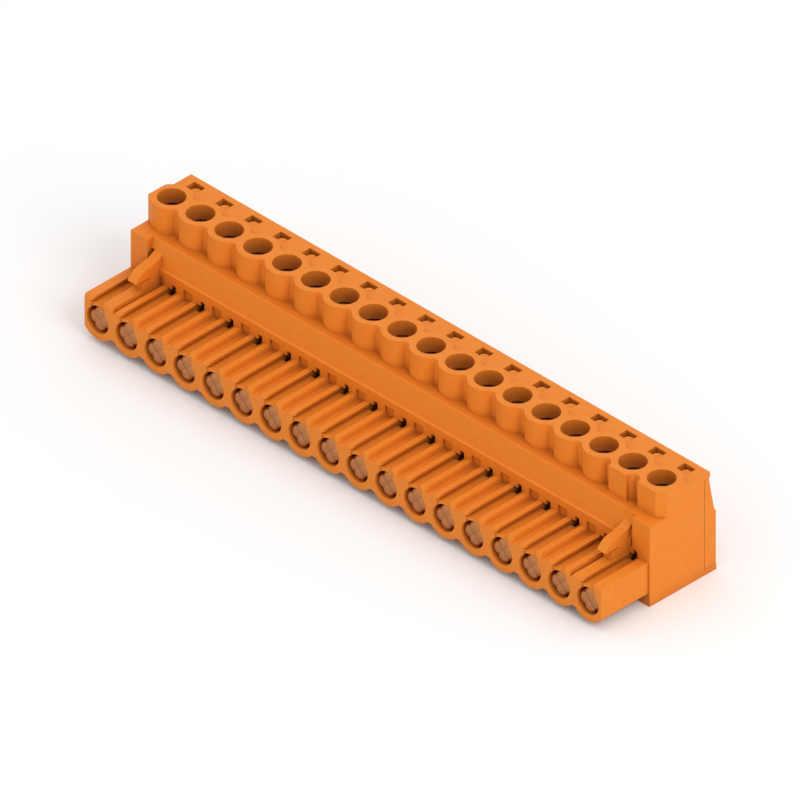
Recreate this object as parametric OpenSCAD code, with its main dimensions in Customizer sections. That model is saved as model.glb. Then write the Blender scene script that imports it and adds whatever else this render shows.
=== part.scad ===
// Pluggable terminal block with screw clamps, the half that plugs onto a pin header.
// The poles stand in a row along X. The mating face looks along -Y, the wires go in from
// the back, and the clamping screws stand along Z. All sizes are in millimetres.

/* [Poles] */
// Number of poles
poles = 18; // [4:1:24]
// Distance from one pole to the next
pitch = 5.08; // [5:0.01:5.3]

/* [Body] */
// Height of the screw tubes above the base
tube_top = 16; // [15.8:0.05:16.4]
// Depth of the rear top plate below the tops of the screw tubes
plate_drop = 0.7; // [0.4:0.02:0.8]
// Height of the ledge that the screw tubes stand on
ledge_z = 12.1; // [11.8:0.05:12.4]
// Height of the small step along the front wall
step_z = 8.75; // [8.4:0.05:9]
// Distance of the front wall from the row of screw axes, just above the step
wall_y = 4.5; // [4.4:0.05:4.9]
// Distance of the front wall's top edge from the row of screw axes
wall_top_y = 3.8; // [3.6:0.05:4.4]
// How far the front wall stands out below the step
step_out = 0.27; // [0.15:0.01:0.4]
// Radius of the round along the top of the front wall
wall_round = 0.15; // [0.1:0.05:0.6]
// Distance of the seam of the rear cover from the row of screw axes
seam_y = 4.86; // [4.7:0.02:4.9]
// Overhang of the top lip beyond that seam
top_lip = 1.03; // [0.8:0.02:1.3]
// Thickness of the top lip below the rear top plate
top_lip_t = 0.84; // [0.4:0.05:1]
// Thickness of the floor and of the lip that carries the rear cover
floor_t = 0.85; // [0.6:0.05:1]
// Distance of the back of the block from the row of screw axes
back_y = 6.99; // [6.9:0.01:7.4]
// Distance of the left end face from the first screw axis
end_left = 2.45; // [2.4:0.01:2.54]

/* [End blocks] */
// Distance of the left block's inner face from the first screw axis
block_left_in = 0.51; // [0.4:0.01:0.7]
// Distance of the right block's inner face to the left of the last screw axis
block_right_in = 0.44; // [0.3:0.01:0.7]
// Thickness of the end plates, which run down to the base
end_plate_t = 1.32; // [0.9:0.01:1.6]

/* [Screw tubes] */
// Outer radius of a screw tube
tube_r = 2.75; // [2.6:0.01:2.85]
// Radius of the hole that the screwdriver goes down
access_r = 1.87; // [1.7:0.01:1.88]
// How far the webs between the tubes reach in front of the screw axes
web_front = 1.66; // [1.2:0.02:2]
// How far the webs between the tubes reach behind the screw axes
web_back = 1.6; // [1.2:0.02:2]
// Width of the flat pads on the last two screw tubes
pad_w = 3.1; // [2:0.05:3.5]
// Distance of the end wall's front above the ledge from the row of screw axes
end_wall_y = 1.73; // [1.7:0.01:2.4]

/* [Test openings] */
// Width of a test opening
test_w = 1.95; // [1.4:0.05:2.4]
// Distance of its back from the row of screw axes
test_back = 5.0; // [4.9:0.02:5.2]
// Distance of its front from the row of screw axes
test_front = 3.5; // [3.3:0.02:3.7]
// Depth of the inner ledge below the rear top plate
test_ledge_drop = 0.3; // [0.2:0.05:0.6]
// Width of that ledge
test_ledge_w = 1.32; // [0.8:0.01:1.35]
// Depth of that ledge from the front of the opening
test_ledge_y = 1.1; // [0.7:0.05:1.2]
// Radius of the ledge's inner corner
test_corner = 0.65; // [0.3:0.05:0.7]

/* [Mating tubes] */
// Distance of the mating face from the row of screw axes
mate_y = 13.05; // [12.6:0.05:13.6]
// Height of the mating tubes' axes above the base
mate_z = 3.67; // [3.6:0.01:3.8]
// Outer radius of a mating tube
mate_r = 2.9; // [2.75:0.01:2.95]
// Radius of the bore of a mating tube
mate_bore_r = 1.905; // [1.85:0.005:2]
// Height of the flats between the undersides of the tubes
belly_z = 1.75; // [1.4:0.05:1.9]
// Distance of the left face of the mating row from the first axis
mate_left = 2.3; // [2:0.01:2.5]
// Distance of the right face of the mating row from the last axis
mate_right = 2.34; // [2:0.01:2.5]

/* [Ribs and coding channels] */
// Height of the rib tops above the mating tubes' axes
rib_h = 2.96; // [2.8:0.01:3.1]
// Height of the channel floors above the mating tubes' axes
channel_h = 2.2; // [2.15:0.01:2.4]
// Half width of a coding channel at its floor
channel_half = 1.21; // [1:0.01:1.3]
// How far each rib overhangs the channel
channel_lip = 0.34; // [0.2:0.01:0.5]
// Length of the open notch in front of the channel floor
notch_len = 0.28; // [0.2:0.01:0.5]
// Left edge of the groove between two ribs, from the screw axis on its left
groove_left = 1.74; // [1.5:0.01:1.9]
// Right edge of the groove between two ribs, from the screw axis on its left
groove_right = 3.34; // [3.1:0.01:3.5]
// Depth of the groove
groove_d = 0.66; // [0.4:0.01:0.8]
// Width of the two broad ribs that carry the latch hooks
broad_rib_w = 1.6; // [1.4:0.01:1.8]
// Height of the chamfer on the front ends of the ribs
rib_chamfer = 0.42; // [0.2:0.01:0.6]

/* [Latch hooks] */
// Width of a hook
hook_w = 1.46; // [1:0.01:1.6]
// Distance of each hook's near side from the screw axis of its pole
hook_x = 1.1; // [1:0.01:1.2]
// Reach of a hook in front of its root
hook_reach = 4.88; // [4.4:0.02:5.4]
// Height of a hook's root above the base
hook_root_z = 10.58; // [10.3:0.02:10.8]
// Distance of a hook's root from the row of screw axes
hook_root_y = 4.02; // [3.9:0.02:4.1]
// Depth of the hook's underside below its root
hook_drop = 2.48; // [2.3:0.02:2.6]
// Height of the blunt tip of the nose
hook_tip_h = 0.17; // [0.1:0.01:0.25]
// Length of the slope under that tip
hook_tip_w = 0.26; // [0.1:0.02:0.4]
// Distance of the fin's front behind the nose
hook_fin = 1.2; // [0.8:0.05:1.6]
// Thickness of the slit under a hook's arm
hook_slit = 0.15; // [0.1:0.01:0.2]
// Length of that slit behind the fin's front
hook_slit_len = 1.3; // [0.8:0.05:1.8]

/* [Clamp chambers] */
// Half width of a clamp chamber
chamber_half = 2.05; // [2:0.01:2.2]
// Distance of a chamber's front from the row of screw axes
chamber_front = 2.4; // [2.3:0.05:2.6]
// Height of a chamber's roof above the base
chamber_top = 13.75; // [13.6:0.05:13.9]
// Height at which a chamber narrows to the screw head's round room
head_room_z = 10.9; // [10.8:0.05:11]
// Half width of the passage from the chamber to the mating tube
passage_half = 1.2; // [0.9:0.05:1.4]
// Distance of the front of that passage from the row of screw axes
passage_y = 4.2; // [4:0.05:4.3]

/* [Rear cover] */
// Gap between the rear cover and the housing
cover_gap = 0.06; // [0.03:0.01:0.12]
// Height of the small step across the rear cover
cover_step_z = 9.0; // [8:0.05:10]
// Size of that step
cover_step = 0.3; // [0.15:0.01:0.5]
// Inset of the rear cover's top edge from its back
cover_lean = 1.23; // [0.8:0.01:1.3]
// Inset of the rear cover's back from the back of the block
cover_inset = 0.09; // [0.05:0.01:0.2]
// Height of the wire entries above the base
wire_z = 4.9; // [4.6:0.05:5.2]
// Radius of a wire entry
wire_r = 1.4; // [1.1:0.05:1.6]
// Radius of the wire entry's funnel at the back
wire_mouth_r = 1.95; // [1.7:0.05:2.2]
// Depth of that funnel
wire_funnel = 0.9; // [0.5:0.05:1.2]

/* [Clamping screws] */
// Radius of the screw head
head_r = 1.9; // [1.89:0.01:1.95]
// Height of the screw head
head_h = 1.7; // [1.4:0.05:1.8]
// Clearance between the screw head and the roof above it
head_gap = 0.1; // [0.05:0.01:0.2]
// Width of the screw head's slot
slot_w = 0.6; // [0.5:0.05:0.8]
// Depth of the screw head's slot
slot_d = 0.7; // [0.5:0.05:0.9]
// Radius of the screw's shank
shank_r = 1.25; // [1.1:0.05:1.25]
// Gap between the screw's tip and the busbar
tip_gap = 0.1; // [0.05:0.01:0.2]

/* [Clamp yokes] */
// Clearance between a yoke and its chamber
yoke_gap = 0.12; // [0.08:0.01:0.2]
// Thickness of a yoke's side walls
yoke_side_t = 0.53; // [0.4:0.01:0.6]
// Length of a yoke along the wire
yoke_len = 3.4; // [3:0.05:3.8]
// Thickness of the threaded bridge of a yoke
yoke_bridge_t = 1.2; // [1:0.05:1.3]
// Thickness of the plate that lifts the wire
yoke_plate_t = 0.8; // [0.6:0.05:0.9]
// Height of the opening for the wire, from the plate to the busbar
yoke_open = 2.6; // [2.5:0.05:2.8]
// Clearance of the screw's shank in the yoke
thread_gap = 0.1; // [0.06:0.01:0.15]

/* [Contacts] */
// Height of the busbar's underside above the base
bar_z = 6.2; // [6.1:0.05:6.4]
// Thickness of the contact's sheet
sheet_t = 0.8; // [0.6:0.05:0.8]
// Clearance between the busbar and the yoke's side walls
bar_gap = 0.1; // [0.08:0.01:0.2]
// Distance of the busbar's rear end from the row of screw axes
bar_back = 2.6; // [2:0.05:3]
// Distance of the riser's front from the row of screw axes
riser_y = 3.6; // [3.5:0.05:3.8]
// Half width of the riser and of the neck
neck_half = 0.65; // [0.5:0.05:0.8]
// Clearance between the socket and its bore
socket_gap = 0.03; // [0.02:0.01:0.06]
// Depth of the socket's mouth behind the mating face
mouth_depth = 0.5; // [0.3:0.05:1]
// Depth of the socket's throat behind its mouth
throat_depth = 1.1; // [0.8:0.05:1.4]
// Radius of the socket's throat
throat_r = 0.5; // [0.45:0.01:0.65]
// Thickness of the socket's leaves
leaf_t = 0.25; // [0.2:0.01:0.3]
// Length of the leaves from mouth to ring
leaf_len = 4; // [3.5:0.1:4.6]
// Length of the closed ring behind the leaves
ring_len = 2.5; // [2:0.1:3]
// Width of the slots between the leaves
leaf_slot = 0.3; // [0.2:0.02:0.4]

/* [Hidden] */
$fn = 48;
fuse = 0.2;
steps = 6;

last_x = (poles - 1) * pitch;
left_x = -end_left;
right_x = left_x + poles * pitch;
mid_x = (left_x + right_x) / 2;
mid_y = (back_y - mate_y) / 2;

plate_z = tube_top - plate_drop;
lip_z = plate_z - top_lip_t;
lip_y = seam_y + top_lip;
low_wall_y = wall_y + step_out;
block_y = low_wall_y;
block_right_x = last_x - block_right_in;
rib_z = mate_z + rib_h;
channel_z = mate_z + channel_h;
mate_right_x = last_x + mate_right;

head_z = chamber_top - head_gap - head_h;
bar_top = bar_z + sheet_t;
tip_z = bar_top + tip_gap;
yoke_half = chamber_half - yoke_gap;
yoke_open_half = yoke_half - yoke_side_t;
bar_half = yoke_open_half - bar_gap;
yoke_rest_z = bar_z - yoke_open;
yoke_top_gap = 0.12;
passage_z = bar_top + 0.3;
hook_left_x = hook_x;
hook_right_x = last_x - hook_x - hook_w;
// Points along a hook's back: distance in front of the root, drop below it
hook_back = [[0, 0], [1.05, 0.63], [2.11, 0.87], [3.17, 1.03], [3.87, 1.29], [4.4, 1.79]];
socket_r = mate_bore_r - socket_gap;
ring_front = mate_y - mouth_depth - leaf_len;

orange = [0.93, 0.5, 0.16];
steel = [0.62, 0.6, 0.58];
tinned = [0.72, 0.6, 0.55];

function two_digits(n) = n < 10 ? str("0", n) : str(n);
function named(stem, n) = str(stem, "_", two_digits(n));

// Points of an arc about [a, b], from one angle to another
function arc(a, b, r, from, to) =
    [for (i = [0:steps]) let (t = from + (to - from) * i / steps) [a + r * cos(t), b + r * sin(t)]];

// Puts the finished piece over the middle of the base
module place() { translate([-mid_x, -mid_y, 0]) children(); }

// A box from its lowest to its highest corner
module span(low, high) { translate(low) cube(high - low); }

// A prism along X from an outline in Y and Z
module along_x(x0, x1) { translate([x0, 0, 0]) rotate([90, 0, 90]) linear_extrude(x1 - x0) children(); }

// A prism along Y from an outline in X and Z
module along_y(y0, y1) { translate([0, y1, 0]) rotate([90, 0, 0]) linear_extrude(y1 - y0) children(); }

// A round bar along Y
module bar_y(x, z, r, y0, y1) { translate([x, y1, z]) rotate([90, 0, 0]) cylinder(r = r, h = y1 - y0); }

// Whatever stands once at each pole
module each_pole(from = 0, to = poles - 1) {
    for (k = [from:to]) translate([k * pitch, 0, 0]) children();
}

// Front wall, which leans back from the small step to its rounded top edge
module front_wall() {
    along_x(left_x, right_x) polygon(concat(
        [[0, 0], [-low_wall_y, 0], [-low_wall_y, step_z - step_out / 2], [-wall_y, step_z]],
        arc(-wall_top_y + wall_round, ledge_z - wall_round, wall_round, 180, 90),
        [[0, ledge_z]]
    ));
}

// Blocks at both ends of the front wall, the end plates and the pad over the right hook
module end_blocks() {
    span([left_x, -block_y, rib_z - fuse], [block_left_in, 0, ledge_z]);
    span([block_right_x, -block_y, rib_z - fuse], [right_x, 0, ledge_z]);
    for (x = [left_x, right_x - end_plate_t]) span([x, -block_y, 0], [x + end_plate_t, 0, ledge_z]);
    span([hook_right_x, -hook_root_y, hook_root_z - fuse], [block_right_x + fuse, 0, ledge_z]);
}

// Rear half of the body, with the lips above and below the rear cover
module rear_body() {
    span([left_x, -chamber_front, 0], [right_x, seam_y, ledge_z]);
    span([left_x, 0, ledge_z - fuse], [right_x, seam_y, plate_z]);
    span([left_x, seam_y - fuse, lip_z], [right_x, lip_y, plate_z]);
    span([left_x, 0, 0], [right_x, back_y, floor_t]);
}

// Row of screw tubes, joined by webs, with flat pads on the last two
module screw_tubes() {
    tall = tube_top - ledge_z + fuse;
    intersection() {
        each_pole() translate([0, 0, ledge_z - fuse]) cylinder(r = tube_r, h = tall);
        span([left_x, -back_y, 0], [right_x, back_y, tube_top]);
    }
    span([left_x, -web_front, ledge_z], [right_x, 1, tube_top]);
    span([0, 0, ledge_z], [right_x, web_back, tube_top]);
    for (k = [poles - 2:poles - 1])
        span([k * pitch - pad_w / 2, -tube_r, ledge_z - fuse], [k * pitch + pad_w / 2, 0, tube_top]);
    translate([0, 0, ledge_z - fuse]) linear_extrude(tall) polygon([
        [last_x, -tube_r], [right_x - tube_r + end_wall_y, -tube_r], [right_x, -end_wall_y],
        [right_x, 0], [last_x, 0]
    ]);
}

// Outline of one coding channel in X and Z, undercut on both sides
module channel_outline() {
    mouth = channel_half - channel_lip;
    polygon([
        [-channel_half, channel_z], [channel_half, channel_z],
        [mouth + 0.06, channel_z + 0.3], [mouth, rib_z], [mouth, rib_z + 1],
        [-mouth, rib_z + 1], [-mouth, rib_z], [-mouth - 0.06, channel_z + 0.3]
    ]);
}

// Outline of the groove between two ribs
module groove_outline(left, right) {
    polygon([
        [left, rib_z + 1], [left, rib_z], [left + 0.2, rib_z - groove_d],
        [right - 0.45, rib_z - groove_d], [right, rib_z], [right, rib_z + 1]
    ]);
}

// Mating row: tubes with a ribbed deck on top
module mating_row() {
    difference() {
        union() {
            each_pole() bar_y(0, mate_z, mate_r, -mate_y, -wall_y);
            span([-mate_left, -mate_y, mate_z], [mate_right_x, -wall_y, rib_z]);
            span([0, -mate_y, belly_z], [last_x, -wall_y, rib_z]);
        }
        span([-mate_left - mate_r, -mate_y - 1, 0], [-mate_left, 0, rib_z + 1]);
        span([mate_right_x, -mate_y - 1, 0], [mate_right_x + mate_r, 0, rib_z + 1]);
        along_x(-mate_left - 1, mate_right_x + 1) polygon([
            [-mate_y - 1, rib_z - rib_chamfer], [-mate_y, rib_z - rib_chamfer],
            [-mate_y + rib_chamfer / 2, rib_z], [-mate_y + rib_chamfer / 2, rib_z + 1],
            [-mate_y - 1, rib_z + 1]
        ]);
    }
}

// Everything cut into the deck of the mating row
module deck_cuts() {
    each_pole() along_y(-mate_y - 1, -low_wall_y) channel_outline();
    each_pole() span([-channel_half, -mate_y - 1, mate_z], [channel_half, -mate_y + notch_len, rib_z - rib_chamfer]);
    each_pole(1, poles - 3)
        along_y(-mate_y - 1, -wall_y) groove_outline(groove_left, groove_right);
    along_y(-mate_y - 1, -wall_y) groove_outline(channel_half - channel_lip + broad_rib_w, groove_right);
    translate([last_x - pitch, 0, 0]) along_y(-mate_y - 1, -wall_y)
        groove_outline(groove_left, pitch - channel_half + channel_lip - broad_rib_w);
}

// Opening at the end of each channel, through the front wall into the passage
module channel_windows() {
    each_pole() {
        along_y(-low_wall_y - 0.1, -passage_y + fuse) polygon([
            [-1, channel_z], [-0.15, channel_z], [0.4, channel_z + 0.55], [0.42, channel_z + 1.3],
            [0.28, channel_z + 1.46], [-0.3, channel_z + 1.46], [-0.3, rib_z], [-1, rib_z]
        ]);
        span([-1, -low_wall_y - 0.25, mate_z + 1], [-0.16, -passage_y + fuse, channel_z + fuse]);
    }
}

// One latch hook: an arm that drops to its nose, on a fin with a thin slit
module latch_hook(x0) {
    nose = -hook_root_y - hook_reach;
    under_z = hook_root_z - hook_drop;
    along_x(x0, x0 + hook_w) polygon(concat(
        [[0, rib_z - fuse], [0, hook_root_z]],
        [for (p = hook_back) [-hook_root_y - p[0], hook_root_z - p[1]]],
        [[nose, under_z + hook_tip_h], [nose + hook_tip_w, under_z],
         [nose + hook_fin, under_z], [nose + hook_fin + hook_slit_len, under_z],
         [nose + hook_fin + hook_slit_len, under_z - hook_slit], [nose + hook_fin, under_z - hook_slit],
         [nose + hook_fin, rib_z - fuse]]
    ));
}

// Room for clamp, screw head, contact and screwdriver at one pole
module chamber() {
    span([-chamber_half, -chamber_front, floor_t], [chamber_half, seam_y + 0.01, head_room_z]);
    span([-chamber_half, 0, floor_t], [chamber_half, seam_y + 0.01, chamber_top]);
    translate([0, 0, head_room_z - fuse]) cylinder(r = chamber_half, h = chamber_top - head_room_z + fuse);
    translate([0, 0, chamber_top - fuse]) cylinder(r = access_r, h = tube_top);
    bar_y(0, mate_z, mate_bore_r, -mate_y - 1, -chamber_front + fuse);
    span([-passage_half, -passage_y, mate_z], [passage_half, -chamber_front + fuse, passage_z]);
}

// One test opening, with the round-cornered ledge inside it
module test_opening() {
    right = test_w / 2;
    ledge_left = right - test_ledge_w;
    ledge_back = test_front + test_ledge_y;
    difference() {
        span([-right, test_front, chamber_top - fuse], [right, test_back, tube_top]);
        difference() {
            span([ledge_left, test_front - 1, 0], [right + 1, ledge_back, plate_z - test_ledge_drop]);
            difference() {
                span([ledge_left - 1, ledge_back - test_corner, -1], [ledge_left + test_corner, ledge_back + 1, plate_z]);
                translate([ledge_left + test_corner, ledge_back - test_corner, -2])
                    cylinder(r = test_corner, h = plate_z + 4);
            }
        }
    }
}

// Narrow slits in the front wall beside the two hooks
module hook_slits() {
    slit_bottom = hook_root_z - 3;
    span([block_left_in, -block_y, slit_bottom], [hook_left_x, -hook_root_y + 0.6, hook_root_z]);
    span([block_right_x - 0.27, -low_wall_y, slit_bottom], [block_right_x, -hook_root_y + 0.6, hook_root_z]);
}

module housing() {
    color(orange) place() difference() {
        union() {
            difference() {
                union() {
                    front_wall();
                    end_blocks();
                    rear_body();
                    screw_tubes();
                    mating_row();
                }
                deck_cuts();
                hook_slits();
            }
            latch_hook(hook_left_x);
            latch_hook(hook_right_x);
        }
        each_pole() chamber();
        each_pole() test_opening();
        channel_windows();
    }
}

// The cover that closes the chambers at the back, with a funnel for each wire
module rear_cover() {
    low = floor_t + cover_gap;
    high = lip_z - cover_gap;
    face = seam_y + cover_gap;
    back = back_y - cover_inset;
    color(orange) place() difference() {
        along_x(left_x, right_x) polygon([
            [face, low], [back, low], [back, cover_step_z],
            [back - cover_step, cover_step_z + cover_step], [back - cover_lean, high], [face, high]
        ]);
        each_pole() {
            bar_y(0, wire_z, wire_r, seam_y - 1, back_y);
            translate([0, back, wire_z]) rotate([90, 0, 0])
                cylinder(r1 = wire_mouth_r, r2 = wire_r, h = wire_funnel);
            span([-test_w / 2, seam_y, chamber_top - 1], [test_w / 2, test_back, tube_top]);
        }
    }
}

// Half section of the socket, radius against depth behind its mouth
module socket_section() {
    mouth_r = socket_r - 0.1;
    ring_end = leaf_len + ring_len;
    bulge = mouth_r - throat_r;
    polygon(concat(
        [for (i = [0:steps]) let (t = 90 * i / steps)
            [throat_r + bulge * (1 - sin(t)), throat_depth * (1 - cos(t))]],
        [[throat_r + 0.12, leaf_len], [throat_r + 0.12, ring_end], [socket_r, ring_end],
         [socket_r, leaf_len], [throat_r + 0.12 + leaf_t, leaf_len - 0.2]],
        [for (i = [steps:-1:0]) let (t = 90 * i / steps)
            [throat_r + leaf_t + bulge * (1 - sin(t)) * 0.9, (throat_depth + leaf_t) * (1 - cos(t)) + leaf_t * 0.6]]
    ));
}

// Clover outline that parts the socket's front into four round-ended leaves
module clover() {
    lobe_off = 1.3;
    lobe_r = 1.08;
    tall = leaf_len - 0.4;
    for (turn = [0:90:270]) rotate([0, 0, turn]) translate([lobe_off, 0, -1]) cylinder(r = lobe_r, h = tall + 1);
}

// The contact: socket in front, neck, riser and the busbar that the wire is clamped to
module contact(n) {
    ring_back = ring_front - ring_len;
    color(tinned) place() translate([(n - 1) * pitch, 0, 0]) {
        translate([0, -mate_y + mouth_depth, mate_z]) rotate([-90, 0, 0]) difference() {
            rotate_extrude() socket_section();
            difference() {
                translate([0, 0, -1]) cylinder(r = 3, h = leaf_len + 0.4);
                clover();
            }
            for (turn = [45, 135]) rotate([0, 0, turn])
                translate([-3, -leaf_slot / 2, -1]) cube([6, leaf_slot, leaf_len + 0.6]);
        }
        span([-neck_half, -ring_back - fuse, mate_z - throat_r - leaf_t - sheet_t],
             [neck_half, -riser_y + sheet_t, mate_z - throat_r - leaf_t]);
        span([-neck_half, -riser_y, mate_z - throat_r - leaf_t - sheet_t], [neck_half, -riser_y + sheet_t, bar_top]);
        span([-neck_half, -riser_y, bar_z], [neck_half, 0, bar_top]);
        span([-bar_half, -yoke_len / 2 - 0.3, bar_z], [bar_half, bar_back, bar_top]);
    }
}

// Slotted clamping screw, captive under the tube's shoulder
module screw(n) {
    chamfer = 0.15;
    color(steel) place() translate([(n - 1) * pitch, 0, 0]) difference() {
        union() {
            translate([0, 0, head_z]) cylinder(r = head_r, h = head_h - chamfer);
            translate([0, 0, head_z + head_h - chamfer])
                cylinder(r1 = head_r, r2 = head_r - chamfer, h = chamfer);
            translate([0, 0, tip_z + chamfer]) cylinder(r = shank_r, h = head_z - tip_z - chamfer + fuse);
            translate([0, 0, tip_z]) cylinder(r1 = shank_r - chamfer, r2 = shank_r, h = chamfer);
        }
        span([-slot_w / 2, -head_r - 1, head_z + head_h - slot_d], [slot_w / 2, head_r + 1, head_z + head_h + 1]);
    }
}

// The yoke that the screw draws up, so that the wire is pressed against the busbar
module clamp_yoke(n) {
    bridge_z = bar_top + yoke_top_gap;
    color(steel) place() translate([(n - 1) * pitch, 0, 0]) difference() {
        span([-yoke_half, -yoke_len / 2, yoke_rest_z - yoke_plate_t],
             [yoke_half, yoke_len / 2, bridge_z + yoke_bridge_t]);
        span([-yoke_open_half, -yoke_len, yoke_rest_z], [yoke_open_half, yoke_len, bridge_z]);
        translate([0, 0, bridge_z - fuse]) cylinder(r = shank_r + thread_gap, h = yoke_bridge_t + 1);
    }
}

housing();
rear_cover();
for (n = [1:poles]) {
    contact(n);
    screw(n);
    clamp_yoke(n);
}
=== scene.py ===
import math

import bmesh
import bpy
from mathutils import Matrix, Vector


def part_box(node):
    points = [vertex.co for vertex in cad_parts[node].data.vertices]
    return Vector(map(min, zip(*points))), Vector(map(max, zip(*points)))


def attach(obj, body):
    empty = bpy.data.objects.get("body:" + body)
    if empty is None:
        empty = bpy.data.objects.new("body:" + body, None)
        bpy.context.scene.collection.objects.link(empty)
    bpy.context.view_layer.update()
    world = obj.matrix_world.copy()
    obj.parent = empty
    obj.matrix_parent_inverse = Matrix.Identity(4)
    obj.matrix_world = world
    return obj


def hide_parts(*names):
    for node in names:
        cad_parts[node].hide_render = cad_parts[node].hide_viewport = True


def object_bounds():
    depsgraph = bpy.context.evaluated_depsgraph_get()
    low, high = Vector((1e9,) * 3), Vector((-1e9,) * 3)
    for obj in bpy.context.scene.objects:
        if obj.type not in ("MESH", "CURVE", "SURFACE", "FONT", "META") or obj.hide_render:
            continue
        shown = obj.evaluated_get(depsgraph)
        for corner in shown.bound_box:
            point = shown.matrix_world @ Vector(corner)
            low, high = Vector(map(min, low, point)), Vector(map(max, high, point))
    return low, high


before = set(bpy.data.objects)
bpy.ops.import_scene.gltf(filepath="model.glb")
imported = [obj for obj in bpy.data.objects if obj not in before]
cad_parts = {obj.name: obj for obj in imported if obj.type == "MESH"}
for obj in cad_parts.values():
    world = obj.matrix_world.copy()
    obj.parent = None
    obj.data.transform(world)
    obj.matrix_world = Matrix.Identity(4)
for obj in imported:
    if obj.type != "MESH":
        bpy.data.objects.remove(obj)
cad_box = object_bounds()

# View. The photograph is a parallel projection from the right, the front and above, centred on
# the block, so the camera is orthographic and looks at the middle of the block's box.
scene = bpy.context.scene
scene.view_settings.view_transform = "Standard"
low_corner, high_corner = Vector(cad_box[0]), Vector(cad_box[1])
middle = (low_corner + high_corner) / 2
azimuth = math.radians(45)
elevation = math.radians(35)
photo_width = 0.099672
camera_distance = 0.6
towards_camera = Vector((
    math.cos(elevation) * math.sin(azimuth),
    -math.cos(elevation) * math.cos(azimuth),
    math.sin(elevation),
))
camera_data = bpy.data.cameras.new("camera")
camera_data.type = "ORTHO"
camera_data.ortho_scale = photo_width
camera_data.clip_start = 0.01
camera_data.clip_end = 20
camera = bpy.data.objects.new("camera", camera_data)
scene.collection.objects.link(camera)
camera.matrix_world = (
    Matrix.Translation(middle + towards_camera * camera_distance)
    @ towards_camera.to_track_quat("Z", "Y").to_matrix().to_4x4()
)
scene.camera = camera

# Studio. An even sky and a pale floor light the block from every side, and a soft lamp on the
# right shapes its forms. Sky and floor both look whiter to the camera than the light they give,
# so the ground is nearly white and still keeps the shadow.
world = bpy.data.worlds.new("even_sky")
scene.world = world
world.use_nodes = True
sky_nodes, sky_links = world.node_tree.nodes, world.node_tree.links
sky = sky_nodes["Background"]
sky.inputs["Color"].default_value = (1, 1, 1, 1)
lighting_strength = 0.86
seen_strength = 1
ray = sky_nodes.new("ShaderNodeLightPath")
seen = ray.outputs["Is Camera Ray"]
for other_sight in ("Is Glossy Ray", "Is Transmission Ray"):
    either = sky_nodes.new("ShaderNodeMath")
    either.operation = "MAXIMUM"
    sky_links.new(seen, either.inputs[0])
    sky_links.new(ray.outputs[other_sight], either.inputs[1])
    seen = either.outputs["Value"]
strength = sky_nodes.new("ShaderNodeMapRange")
strength.inputs["To Min"].default_value = lighting_strength
strength.inputs["To Max"].default_value = seen_strength
sky_links.new(seen, strength.inputs["Value"])
sky_links.new(strength.outputs["Result"], sky.inputs["Strength"])

floor_size = 6
floor_mesh = bpy.data.meshes.new("floor")
floor_mesh.from_pydata(
    [(x * floor_size / 2, y * floor_size / 2, 0) for x, y in ((-1, -1), (1, -1), (1, 1), (-1, 1))],
    [], [(0, 1, 2, 3)],
)
floor = bpy.data.objects.new("floor", floor_mesh)
scene.collection.objects.link(floor)
paper = bpy.data.materials.new("pale_paper")
paper.use_nodes = True
nodes, links = paper.node_tree.nodes, paper.node_tree.links
shader = nodes["Principled BSDF"]
shader.inputs["Roughness"].default_value = 1
shader.inputs["Specular IOR Level"].default_value = 0
light_path = nodes.new("ShaderNodeLightPath")
paper_tone = nodes.new("ShaderNodeMix")
paper_tone.data_type = "RGBA"
paper_tone.inputs["A"].default_value = (0.8, 0.8, 0.8, 1)
paper_tone.inputs["B"].default_value = (1, 1, 1, 1)
links.new(light_path.outputs["Is Camera Ray"], paper_tone.inputs["Factor"])
links.new(paper_tone.outputs["Result"], shader.inputs["Base Color"])
floor_mesh.materials.append(paper)

lamp_data = bpy.data.lights.new("soft_box", "AREA")
lamp_data.shape = "DISK"
lamp_data.size = 0.7
lamp_data.energy = 3.4
lamp = bpy.data.objects.new("soft_box", lamp_data)
scene.collection.objects.link(lamp)
lamp_offset = Vector((0.82, -0.14, 0.66))
lamp_place = middle + lamp_offset
lamp.matrix_world = (
    Matrix.Translation(lamp_place)
    @ (lamp_place - middle).to_track_quat("Z", "Y").to_matrix().to_4x4()
)


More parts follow.
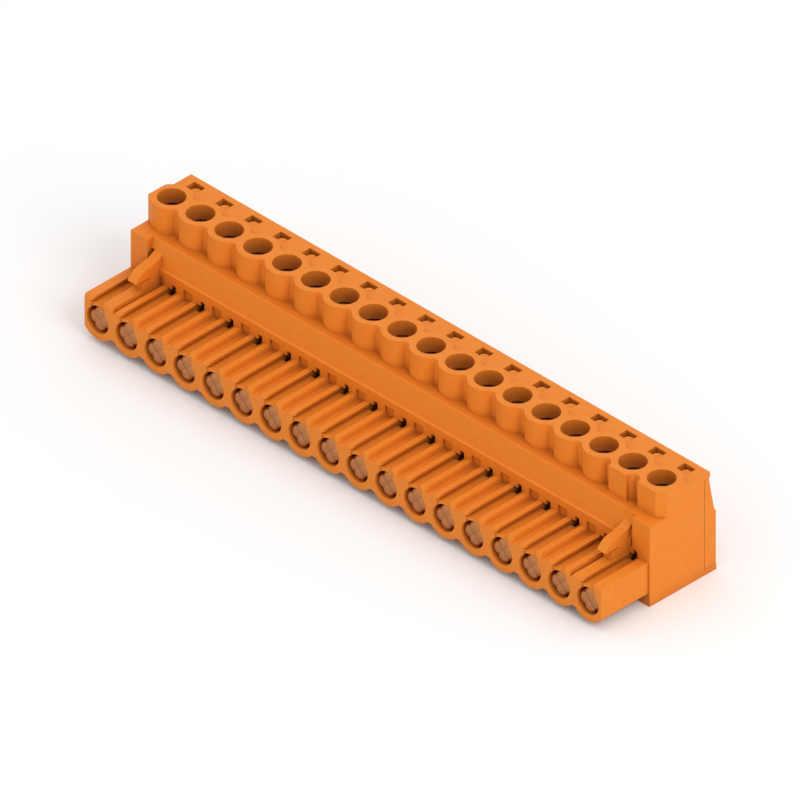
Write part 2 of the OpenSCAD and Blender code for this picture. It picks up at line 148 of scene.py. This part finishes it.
# Housing and rear cover. Both are injection mouldings in orange glass-filled polyamide: a satin
# surface with very fine grain, a little mottled by the fibres, and edges barely rounded. The
# occlusion node darkens the colour in crevices, to stand in for the photograph's deep shade.
def moulded_plastic(name, colour, dark, painted_crevice_shade, edge_radius):
    material = bpy.data.materials.new(name)
    material.use_nodes = True
    nodes, links = material.node_tree.nodes, material.node_tree.links
    shader = nodes["Principled BSDF"]
    shader.inputs["Specular IOR Level"].default_value = 0.2
    place = nodes.new("ShaderNodeTexCoord")

    mottle = nodes.new("ShaderNodeTexNoise")
    mottle.inputs["Scale"].default_value = 900
    mottle.inputs["Detail"].default_value = 4
    mottle_range = nodes.new("ShaderNodeMapRange")
    mottle_range.inputs["From Min"].default_value = 0.35
    mottle_range.inputs["From Max"].default_value = 0.65
    tone = nodes.new("ShaderNodeMix")
    tone.data_type = "RGBA"
    tone.inputs["A"].default_value = dark
    tone.inputs["B"].default_value = colour
    links.new(place.outputs["Object"], mottle.inputs["Vector"])
    links.new(mottle.outputs["Fac"], mottle_range.inputs["Value"])
    links.new(mottle_range.outputs["Result"], tone.inputs["Factor"])

    # Painted shade: the occlusion node pulls the colour towards a dark tone where the surface is
    # hemmed in.
    openness = nodes.new("ShaderNodeAmbientOcclusion")
    openness.samples = 8
    openness.inputs["Distance"].default_value = 0.004
    openness_range = nodes.new("ShaderNodeMapRange")
    openness_range.inputs["From Min"].default_value = 0.1
    openness_range.inputs["From Max"].default_value = 0.75
    shaded_tone = nodes.new("ShaderNodeMix")
    shaded_tone.data_type = "RGBA"
    shaded_tone.inputs["A"].default_value = painted_crevice_shade
    links.new(openness.outputs["AO"], openness_range.inputs["Value"])
    links.new(openness_range.outputs["Result"], shaded_tone.inputs["Factor"])
    links.new(tone.outputs["Result"], shaded_tone.inputs["B"])
    links.new(shaded_tone.outputs["Result"], shader.inputs["Base Color"])

    sheen_range = nodes.new("ShaderNodeMapRange")
    sheen_range.inputs["To Min"].default_value = 0.42
    sheen_range.inputs["To Max"].default_value = 0.52
    links.new(mottle.outputs["Fac"], sheen_range.inputs["Value"])
    links.new(sheen_range.outputs["Result"], shader.inputs["Roughness"])

    grain = nodes.new("ShaderNodeTexNoise")
    grain.inputs["Scale"].default_value = 9000
    grain.inputs["Detail"].default_value = 3
    links.new(place.outputs["Object"], grain.inputs["Vector"])
    edge = nodes.new("ShaderNodeBevel")
    edge.samples = 6
    edge.inputs["Radius"].default_value = edge_radius
    bump = nodes.new("ShaderNodeBump")
    bump.inputs["Strength"].default_value = 0.15
    bump.inputs["Distance"].default_value = 0.00001
    links.new(grain.outputs["Fac"], bump.inputs["Height"])
    links.new(edge.outputs["Normal"], bump.inputs["Normal"])
    links.new(bump.outputs["Normal"], shader.inputs["Normal"])
    return material


def dress(node, material):
    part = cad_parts[node]
    part.data.materials.clear()
    part.data.materials.append(material)
    return part


orange = moulded_plastic(
    "orange_polyamide",
    colour=(0.845, 0.24, 0.022, 1),
    dark=(0.815, 0.228, 0.019, 1),
    # Painted shade: the dark colour that the occlusion node puts into crevices.
    painted_crevice_shade=(0.42, 0.12, 0.015, 1),
    edge_radius=0.00006,
)
for name in ("housing", "rear_cover"):
    dress(name, orange)


# Contacts. Each is stamped and rolled from thin copper alloy: a socket with four sprung leaves
# that bulge at their front ends, then a neck and a riser up to the busbar. Rolling leaves streaks.
# The leaf ends are four closed shells, set through one another where the CAD mesh is cut off.
def sheet_metal(name, colour, dark, rough_low, rough_high, stretch):
    material = bpy.data.materials.new(name)
    material.use_nodes = True
    nodes, links = material.node_tree.nodes, material.node_tree.links
    shader = nodes["Principled BSDF"]
    shader.inputs["Metallic"].default_value = 1
    place = nodes.new("ShaderNodeTexCoord")
    mapping = nodes.new("ShaderNodeMapping")
    mapping.inputs["Scale"].default_value = stretch
    streaks = nodes.new("ShaderNodeTexNoise")
    streaks.inputs["Scale"].default_value = 1200
    streaks.inputs["Detail"].default_value = 5
    tone = nodes.new("ShaderNodeMix")
    tone.data_type = "RGBA"
    tone.inputs["A"].default_value = dark
    tone.inputs["B"].default_value = colour
    gloss = nodes.new("ShaderNodeMapRange")
    gloss.inputs["To Min"].default_value = rough_low
    gloss.inputs["To Max"].default_value = rough_high
    bump = nodes.new("ShaderNodeBump")
    bump.inputs["Strength"].default_value = 0.2
    bump.inputs["Distance"].default_value = 0.00001
    links.new(place.outputs["Object"], mapping.inputs["Vector"])
    links.new(mapping.outputs["Vector"], streaks.inputs["Vector"])
    links.new(streaks.outputs["Fac"], tone.inputs["Factor"])
    links.new(tone.outputs["Result"], shader.inputs["Base Color"])
    links.new(streaks.outputs["Fac"], gloss.inputs["Value"])
    links.new(gloss.outputs["Result"], shader.inputs["Roughness"])
    links.new(streaks.outputs["Fac"], bump.inputs["Height"])
    links.new(bump.outputs["Normal"], shader.inputs["Normal"])
    return material


tinned_copper = sheet_metal(
    "tinned_copper",
    colour=(0.56, 0.235, 0.09, 1),
    dark=(0.49, 0.19, 0.065, 1),
    rough_low=0.3,
    rough_high=0.45,
    stretch=(1, 0.2, 1),
)
leaf_count = 4
leaf_end_radius = 0.00103
leaf_end_offset = 0.00084
leaf_end_flatness = 0.6
leaf_end_lead = 0.0004
leaf_end_depth = 0.0022
leaf_end_segments = 32
leaf_end_rings = 16
socket_radius = 0.001875
weld_distance = 1e-7
leaf_ends = bmesh.new()
for leaf in range(leaf_count):
    leaf_end = bmesh.ops.create_uvsphere(
        leaf_ends, u_segments=leaf_end_segments, v_segments=leaf_end_rings, radius=leaf_end_radius,
    )["verts"]
    back_half = [v for v in leaf_end if v.co.y > weld_distance]
    bmesh.ops.scale(leaf_ends, verts=leaf_end, vec=(1, leaf_end_flatness, 1))
    bmesh.ops.translate(leaf_ends, verts=back_half, vec=(0, leaf_end_depth, 0))
    leaf_turn = Matrix.Rotation(math.radians(360 / leaf_count * leaf), 4, "Y")
    bmesh.ops.translate(leaf_ends, verts=leaf_end, vec=leaf_turn @ Vector((leaf_end_offset, 0, 0)))
leaf_end_centre = leaf_end_radius * leaf_end_flatness - leaf_end_lead
bmesh.ops.translate(leaf_ends, verts=leaf_ends.verts, vec=(0, leaf_end_centre, 0))
leaf_mesh = bpy.data.meshes.new("leaf_ends")
leaf_ends.to_mesh(leaf_mesh)
leaf_ends.free()
for name in sorted(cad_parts):
    if name.startswith("contact_"):
        low, high = (Vector(corner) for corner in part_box(name))
        mouth = Vector(((low.x + high.x) / 2, low.y, low.z + socket_radius))
        stamped = bmesh.new()
        stamped.from_mesh(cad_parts[name].data)
        bmesh.ops.remove_doubles(stamped, verts=stamped.verts, dist=weld_distance)
        cut = bmesh.ops.bisect_plane(
            stamped, geom=stamped.verts[:] + stamped.edges[:] + stamped.faces[:],
            plane_co=mouth + Vector((0, leaf_end_depth, 0)), plane_no=(0, -1, 0), clear_outer=True,
        )
        rim = [item for item in cut["geom_cut"] if isinstance(item, bmesh.types.BMEdge)]
        bmesh.ops.holes_fill(stamped, edges=rim)
        cad_verts = set(stamped.verts)
        stamped.from_mesh(leaf_mesh)
        leaf_verts = [v for v in stamped.verts if v not in cad_verts]
        bmesh.ops.translate(stamped, verts=leaf_verts, vec=mouth)
        bmesh.ops.recalc_face_normals(stamped, faces=stamped.faces)
        socket_mesh = bpy.data.meshes.new("socket_" + name)
        stamped.to_mesh(socket_mesh)
        stamped.free()
        socket_mesh.materials.append(tinned_copper)
        socket = bpy.data.objects.new("socket_" + name, socket_mesh)
        scene.collection.objects.link(socket)
        dress(name, tinned_copper)
        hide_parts(name)
        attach(socket, "housing_body")

# Clamping screws. Turned from steel and zinc-plated, with a sawn slot across the head. The thread
# runs in the yoke, so that the head stays captive under the tube's shoulder.
zinc_plate = sheet_metal(
    "zinc_plated_steel",
    colour=(0.6, 0.58, 0.56, 1),
    dark=(0.45, 0.43, 0.41, 1),
    rough_low=0.28,
    rough_high=0.45,
    stretch=(1, 1, 0.2),
)
for name in sorted(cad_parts):
    if name.startswith("screw_"):
        dress(name, zinc_plate)

# Clamp yokes. Folded from zinc-plated steel strip into a closed frame round the wire and the
# busbar; each rides up and down on its screw.
yoke_plate = sheet_metal(
    "plated_strip",
    colour=(0.58, 0.58, 0.58, 1),
    dark=(0.46, 0.46, 0.46, 1),
    rough_low=0.3,
    rough_high=0.5,
    stretch=(0.2, 1, 1),
)
for name in sorted(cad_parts):
    if name.startswith("clamp_yoke_"):
        dress(name, yoke_plate)
